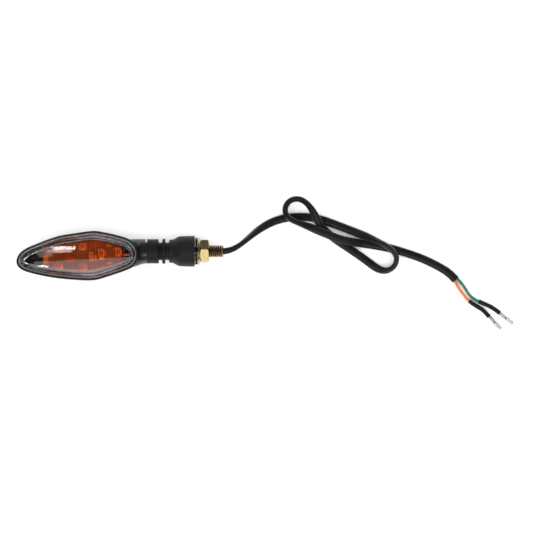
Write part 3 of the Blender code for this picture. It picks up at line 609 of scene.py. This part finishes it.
def stem():
    """The housing's stem: oval in the shell, round with a key slot at its end, then its spigot and bore."""
    turns = math.tau * np.arange(STALK_POINTS) / STALK_POINTS
    smooth = spline(STEM_STATIONS, steps=8).tolist()
    round_end = STEM_STATIONS[-1][1:]
    rings = []
    for x, y, across, up, z in [
        *smooth, (KEY_SLOT_START, *round_end), (KEY_SLOT_START, *round_end), (STEM_END, *round_end),
    ]:
        ring = np.column_stack([np.full(STALK_POINTS, x), y + across * np.cos(turns), z + up * np.sin(turns)])
        if len(rings) > len(smooth):
            ring[:, 1] = ring[:, 1].clip(None, AXIS_Y + STEM_RADIUS - KEY_SLOT_DEPTH)
        rings.append(ring)
    rings += [wheel(x, radius, STALK_POINTS) for x, radius in (
        (STEM_END, SPIGOT_RADIUS), (SPIGOT_END, SPIGOT_RADIUS), (SPIGOT_END, STEM_BORE),
        (STEM_BORE_START, STEM_BORE),
    )]
    piece("stem", skin(rings), housing_plastic, ["housing"], "head", sharp=40)


def facet_height(x, y):
    """Height of the lens there: flat facets that fall away from the crown band."""
    xs, middles, halves, heights = np.array(CROWN_BAND).T
    beyond_end = np.maximum(xs[0] - x, x - xs[-1]).clip(0)
    beyond_side = (np.abs(y - np.interp(x, xs, middles)) - np.interp(x, xs, halves)).clip(0)
    return np.interp(x, xs, heights) - FACET_SLOPE * np.hypot(beyond_end, beyond_side)


def evened(ring):
    """The closed ring with its small kinks averaged out, so that glass facets reflect cleanly."""
    return np.mean([np.roll(ring, shift, axis=0) for shift in EVENING_SHIFTS], axis=0)


def shoulder(depth, drop):
    """Where the lens wall meets its facets."""
    ring = evened(leaf(depth))
    return np.column_stack([ring, facet_height(*ring.T) - drop])


def crown_middle(x):
    """The y of the crown band's middle line at x."""
    return np.interp(x, *np.array(CROWN_BAND).T[:2])


def crown(ring, drop):
    """The crown band's edge, one point for each point of the ring round it."""
    stations = np.array(CROWN_BAND)
    low, high = ring[:, 0].min(), ring[:, 0].max()
    along = np.interp(ring[:, 0], [low, CREST_X, high], stations[:, 0])
    middle, half, height = (np.interp(along, stations[:, 0], stations[:, i]) for i in (1, 2, 3))
    side = ((ring[:, 1] - middle) / CROWN_FLATNESS).clip(-1, 1)
    return np.column_stack([along, middle + half * side, height - drop])


def outer_lens():
    """The clear lens: crown, facets, stepped wall and flange outside, and the same without steps inside."""
    outer, inner = shoulder(SHOULDER_INSET, 0), shoulder(SHOULDER_INSET + 1.4, LENS_WALL)
    foot = at_height(evened(leaf(LENS_FOOT_INSET)), FLANGE_TOP + 0.2)
    rings = [
        crown(outer, 0),
        outer,
        *[foot + share * (outer - foot) + (0, 0, lift) for share, lift in LENS_STEPS],
        foot,
        at_height(leaf(FLANGE_INSET), FLANGE_TOP),
        at_height(leaf(FLANGE_INSET), FLANGE_BOTTOM),
        at_height(leaf(LENS_FOOT_INSET + LENS_WALL), FLANGE_BOTTOM),
        inner,
        crown(inner, LENS_WALL),
    ]
    spine = rings[0].copy()
    spine[:, 1] = crown_middle(spine[:, 0])
    almost_closed = 0.999 * spine + 0.001 * rings[0]
    shape = skin(softened([almost_closed, *rings], 0.18, steps=3))
    piece("lens", shape, clear_lens, ["outer_lens"], "head", sharp=40)


def amber_height(x, y):
    """The amber moulding's relief: fine ribs across, and a smooth pad with a raised ring above each LED."""
    relief = RIB_DEPTH * np.cos(math.tau * x / RIB_SPACING)
    for led_x, led_y in LED_PLACES:
        away = np.hypot(x - led_x, y - led_y)
        inside = 1 / (1 + np.exp((away - LED_PAD_RADIUS) / LED_PAD_BLUR))
        ring = LED_RING_HEIGHT * np.exp(-(((away - LED_RADIUS) / LED_RING_WIDTH) ** 2))
        relief = relief * (1 - inside) + ring * inside
    return relief


def amber_top(edge, z, steps, relief=False):
    """Rings from the edge in to the moulding's middle line, level but for the relief."""
    spine = crown(edge, 0)
    spine[:, 0] = spine[:, 0].clip(edge[:, 0].min() + 0.3, edge[:, 0].max() - 0.3)
    spine[:, 1] = crown_middle(spine[:, 0])
    rows = []
    for t in np.linspace(0, 0.995, steps):
        row = edge * (1 - t) + spine * t
        fade = min(t / RELIEF_FADE, 1)
        row[:, 2] = z + (amber_height(row[:, 0], row[:, 1]) * fade if relief else 0)
        rows.append(row)
    return rows


def inner_lens():
    """The amber moulding: a thin box without a floor, cut off square at its ends."""
    low, high = AMBER_ENDS
    inner_ends = (low + AMBER_WALL, high - AMBER_WALL)
    wall = [at_height(leaf(AMBER_INSET + depth, AMBER_ENDS), z)
            for depth, z in ((0.7, AMBER_TOP - 0.5), (0.0, AMBER_TOP - 1.6), (0.0, AMBER_BOTTOM))]
    inner_wall = [at_height(leaf(AMBER_INSET + AMBER_WALL + depth, inner_ends), z)
                  for depth, z in ((0.0, AMBER_BOTTOM), (0.0, AMBER_TOP - 2.4))]
    edge = at_height(leaf(AMBER_INSET + 1.5, AMBER_ENDS), AMBER_TOP)
    inner_edge = at_height(leaf(AMBER_INSET + AMBER_WALL + 0.9, inner_ends), AMBER_TOP - 1.4)
    top = amber_top(edge, AMBER_TOP, 34, relief=True)
    ceiling = amber_top(inner_edge, AMBER_TOP - 1.4, 6)
    rings = [*top[::-1], *wall, *inner_wall, *ceiling]
    piece("amber", skin(rings), amber_lens, ["inner_lens"], "head", sharp=50)


def leds():
    """Each lamp's resin body with its flange and dome. A brown cup shows in the middle of the dome."""
    turns = math.tau * np.arange(LED_POINTS) / LED_POINTS
    dome_from = LED_HEIGHT - LED_RADIUS
    arc = np.linspace(0, math.pi / 2, 12)[:-1]
    dome = [(LED_RADIUS * math.cos(a), dome_from + LED_RADIUS * math.sin(a)) for a in arc]
    profile = [(LED_MIDDLE, 0), (LED_FLANGE_RADIUS, 0), (LED_FLANGE_RADIUS, 1), (LED_RADIUS, 1), *dome,
               (LED_MIDDLE, LED_HEIGHT)]
    for i, (x, y) in enumerate(LED_PLACES, start=1):
        rings = [
            at_height(np.column_stack([x + r * np.cos(turns), y + r * np.sin(turns)]), LED_FOOT + z)
            for r, z in profile
        ]
        lamp = piece(f"lamp_{i}", skin(rings), led_resin, [f"led_{i}"], "head")
        lamp.data.materials.append(led_cup)
        for polygon in lamp.data.polygons:
            from_middle = math.hypot(polygon.center.x / MM - x, polygon.center.y / MM - y)
            on_dome = polygon.center.z / MM > LED_FOOT + dome_from
            polygon.material_index = int(on_dome and from_middle < LED_CUP_RADIUS)


def dress_nodes():
    """CAD nodes whose shapes stay, with their materials."""
    looks = {
        "lens_gasket": gasket_foam, "circuit_board": board_white, "resistor_1": resistor_body,
        "resistor_2": resistor_body, "diode": diode_body, "board_screw_1": screw_steel,
        "board_screw_2": screw_steel, "green_inner_lead": green_pvc, "orange_inner_lead": orange_pvc,
    }
    for name, look in looks.items():
        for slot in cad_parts[name].material_slots:
            slot.material = look


# The stalk.


def turned(profile, reach, count=STALK_POINTS):
    """A hoop turned round the stalk's axis, with its edges rounded."""
    return skin(softened([wheel(x, radius, count) for x, radius in profile], reach, hoop=True), hoop=True)


def stalk():
    """Collar, rib and bell, and the two neck cores between them."""
    start = STEM_END + 0.05
    collar = [(start, 8.9), (start + 0.3, STEM_RADIUS), (24.5, 9.15), (COLLAR_END - 0.4, STEM_RADIUS),
              (COLLAR_END, 8.8), (COLLAR_END, NECK_BORE), (27.0, NECK_BORE), (27.0, 6.3), (start, 6.3)]
    piece("collar", turned(collar, 0.2), stalk_rubber, ["rubber_collar"], "head")
    rib = [(RIB_START, 8.9), (RIB_START + 0.45, RIB_RADIUS), (RIB_END - 0.45, RIB_RADIUS), (RIB_END, 8.9),
           (RIB_END, NECK_BORE), (RIB_START, NECK_BORE)]
    piece("rib", turned(rib, 0.3), stalk_rubber, ["neck_rib"], "neck_rib")
    for name, low, high, bodies, nodes in (
        ("front_core", COLLAR_END, RIB_START, ("head", "neck_rib"), ["neck_core_front"]),
        ("rear_core", RIB_END, BELL_START, ("neck_rib", "mount"), ["neck_core_rear"]),
    ):
        stations = np.linspace(low - 0.3, high + 0.3, 15)
        fillets = [CORE_FILLET * max(0, 1 - min(x - low, high - x) / CORE_FILLET) ** 2 for x in stations]
        rings = [wheel(x, CORE_RADIUS + fillet, STALK_POINTS) for x, fillet in zip(stations, fillets)]
        rings += [wheel(x, NECK_BORE, STALK_POINTS) for x in stations[::-1]]
        core = piece(name, skin(rings, hoop=True), stalk_rubber, nodes)
        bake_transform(core)
    outside = spline(
        [(BELL_START + 0.3, 8.65), (39.6, 8.9), (41.6, 9.7), (43.8, 10.9), (45.2, 11.3), (47.5, 11.45),
         (54.8, BELL_RADIUS - 0.02)],
        steps=6,
    )
    bell = [(BELL_START, 8.3), *outside.tolist(), (BELL_END - 0.35, BELL_RADIUS - 0.02), (BELL_END, 11.3),
            (BELL_END, 5.3), (PLATE_END + 0.1, 5.3), (PLATE_END + 0.1, PLATE_RADIUS + 0.1),
            (PLATE_START - 0.1, PLATE_RADIUS + 0.1), (PLATE_START - 0.1, NECK_BORE), (BELL_START, NECK_BORE)]
    piece("bell", turned(bell, 0.3, count=128), stalk_rubber, ["rubber_bell"], "mount")


# Bolt, washers and nut.


def bolt():
    """The hollow bolt: head plate, plain shank, a thread that fades in over a millimetre, and bore."""
    turns = np.arange(THREAD_POINTS) / THREAD_POINTS
    rings = [wheel(x, radius, THREAD_POINTS) for x, radius in (
        (PLATE_START, PLATE_RADIUS), (PLATE_END, PLATE_RADIUS), (PLATE_END, THREAD_RADIUS),
    )]
    for x in np.arange(THREAD_START, BOLT_END, THREAD_STEP):
        phase = ((x - THREAD_START) / THREAD_PITCH - turns) % 1
        flank = (np.abs(phase - 0.5) * FLANK_SLOPE - FLANK_SHIFT).clip(0, 1)
        cut = min(x - THREAD_START, 1)
        radius = THREAD_ROOT + (THREAD_RADIUS - THREAD_ROOT) * (flank * cut + 1 - cut)
        rings.append(wheel(x, np.minimum(radius, THREAD_ROOT - 0.25 + (BOLT_END - x)), THREAD_POINTS))
    rings += [wheel(x, radius, THREAD_POINTS) for x, radius in (
        (BOLT_END, THREAD_ROOT - BOLT_TIP_CHAMFER), (BOLT_END, BOLT_BORE + BORE_CHAMFER),
        (BOLT_END - BORE_CHAMFER, BOLT_BORE), (PLATE_START, BOLT_BORE),
    )]
    piece("bolt", skin(rings, hoop=True), bolt_zinc, ["hollow_bolt"], "mount", sharp=50)


def washers():
    """The toothed washer, whose teeth lean out of its plane, and the plain one."""
    count = LOCK_TEETH * TOOTH_STEPS
    steps = np.arange(count) % TOOTH_STEPS
    corners = [0, 1, 6, 7, TOOTH_STEPS]
    tooth = np.interp(steps, corners, [0, 1, 1, 0, 0])
    lean = np.interp(steps, corners, [0, -TOOTH_LEAN, TOOTH_LEAN, 0, 0])
    low, high = LOCK_WASHER
    middle = (low + high) / 2
    profile = ((middle - 0.35, 5.3, 0), (low + 0.35, 7.6, 0), (low + 0.35, None, 1), (high - 0.35, None, 1),
               (high - 0.35, 7.6, 0), (middle + 0.35, 5.3, 0))
    rings = []
    for x, radius, at_rim in profile:
        outer = LOCK_VALLEY + (LOCK_RADIUS - LOCK_VALLEY) * tooth
        ring = wheel(x, outer if radius is None else radius, count)
        ring[:, 0] += lean * at_rim
        rings.append(ring)
    piece(
        "toothed_washer", skin(softened(rings, 0.12, hoop=True, steps=3), hoop=True), black_steel,
        ["lock_washer"], "washers", sharp=35,
    )
    low, high = FLAT_WASHER
    flat = [(low, 5.4), (low, FLAT_RADIUS - 0.2), (high - 0.3, FLAT_RADIUS), (high, FLAT_RADIUS - 0.35),
            (high, 5.4)]
    piece(
        "plain_washer", turned(flat, 0.15, count=128), yellow_zinc, ["flat_washer"], "washers",
    )


def nut():
    """The hexagon nut, whose corners are chamfered by a cone at both ends."""
    low, high = NUT
    turns = math.tau * np.arange(NUT_POINTS) / NUT_POINTS
    apothem = NUT_FLATS / 2
    hexagon = apothem / np.cos(turns % (math.pi / 3) - math.pi / 6)
    depths = np.linspace(0, NUT_CHAMFER, 8)
    cones = [np.minimum(hexagon, apothem - NUT_FACE_INSET + NUT_CHAMFER_SLOPE * depth) for depth in depths]
    sections = [(low + NUT_MOUTH_DEPTH, NUT_BORE), (low, NUT_MOUTH)]
    sections += [(low + depth, cone) for depth, cone in zip(depths, cones)]
    sections += [(high - depth, cone) for depth, cone in zip(depths[::-1], cones[::-1])]
    sections += [(high, NUT_MOUTH), (high - NUT_MOUTH_DEPTH, NUT_BORE)]
    rings = [wheel(x, radius, NUT_POINTS) for x, radius in sections]
    c, s = math.cos(math.pi / 2 + NUT_TURN), math.sin(math.pi / 2 + NUT_TURN)
    for ring in rings:
        ring[:, 1:] = (ring[:, 1:] - (AXIS_Y, AXIS_Z)) @ np.array([[c, s], [-s, c]]) + (AXIS_Y, AXIS_Z)
    piece("nut", skin(rings, hoop=True), yellow_zinc, ["hex_nut"], "nut", sharp=22)


cable()
wires()
housing()
stem()
outer_lens()
inner_lens()
leds()
dress_nodes()
stalk()
bolt()
washers()
nut()


# Floor, light and world.

FLOOR_REACH = 6
LAMP_HEIGHT = 900
# How bright the world is at the horizon and above, for the light it gives and for what shiny surfaces mirror.
DAYLIGHT = ((0.0, 0.55), (0.6, 1.8))
SKY = ((0.02, 0.9), (0.18, 0.12), (0.5, 0.04))

floor_corners = [(x * FLOOR_REACH, y * FLOOR_REACH, 0) for x, y in ((-1, -1), (1, -1), (1, 1), (-1, 1))]
floor_mesh = bpy.data.meshes.new("floor")
floor_mesh.from_pydata(floor_corners, [], [(0, 1, 2, 3)])
floor = bpy.data.objects.new("floor", floor_mesh)
bpy.context.scene.collection.objects.link(floor)
floor_look = new_material("floor_paper", (0.9, 0.9, 0.9), 0.9)
coloured(floor_look, noise(floor_look, 3), [(0.3, (0.9, 0.9, 0.9)), (0.7, (0.92, 0.92, 0.92))])
floor_mesh.materials.append(floor_look)


def softbox(name, place_mm, size_mm, brightness):
    """A rectangle of light that faces straight down. A brightness of 1 looks white."""
    lamp = bpy.data.lights.new(name, "AREA")
    lamp.shape = "RECTANGLE"
    lamp.size, lamp.size_y = (side * MM for side in size_mm)
    lamp.energy = brightness * math.pi * lamp.size * lamp.size_y
    obj = bpy.data.objects.new(name, lamp)
    obj.location = Vector(place_mm) * MM
    obj.visible_camera = False
    bpy.context.scene.collection.objects.link(obj)


def mirrored(x, y, side):
    """Where, at the lamps' height, a lamp is mirrored towards the camera by the given spot of a tip facet.

    side is 1 for the facet on the +Y side of the crown and -1 for the other.
    """
    (x0, middle0, half0, z0), (x1, middle1, half1, z1) = CROWN_BAND[:2]
    edge_slope = (middle1 - middle0 + side * (half1 - half0)) / (x1 - x0)
    rise = (z1 - z0) / (x1 - x0) + FACET_SLOPE * side * edge_slope
    normal = Vector((-rise, FACET_SLOPE * side, 1)).normalized()
    spot = Vector((x, y, float(facet_height(np.array(x), np.array(y)))))
    ray = (spot - camera.location / MM).reflect(normal)
    return spot + ray * (LAMP_HEIGHT - spot.z) / ray.z


softbox("key", (30, -660, LAMP_HEIGHT + 20), (1000, 580), 2.4)
softbox("bright_glint", mirrored(-42, 5.5, 1), (28, 5), 20)
softbox("soft_glint", mirrored(-44.5, 2.8, 1), (29, 5), 8)
softbox("tip_glint", mirrored(-58.5, -7.3, -1), (15, 4), 20)
softbox("tip_veil", mirrored(-58, 1.0, 1), (26, 16), 2.2)

world = bpy.data.worlds.new("studio")
bpy.context.scene.world = world
world.use_nodes = True
axes = node(world, "ShaderNodeSeparateXYZ")
wire_up(world, node(world, "ShaderNodeTexCoord").outputs["Generated"], axes.inputs[0])
daylight, sky = (
    ramp(world, axes.outputs["Z"], [(position, (shade,) * 3) for position, shade in shades])
    for shades in (DAYLIGHT, SKY)
)
choose = node(world, "ShaderNodeMix", data_type="RGBA")
wire_up(world, node(world, "ShaderNodeLightPath").outputs["Is Glossy Ray"], choose.inputs["Factor"])
wire_up(world, daylight, choose.inputs["A"])
wire_up(world, sky, choose.inputs["B"])
wire_up(world, choose.outputs["Result"], world.node_tree.nodes["Background"].inputs["Color"])
bpy.context.scene.view_settings.view_transform = "Standard"
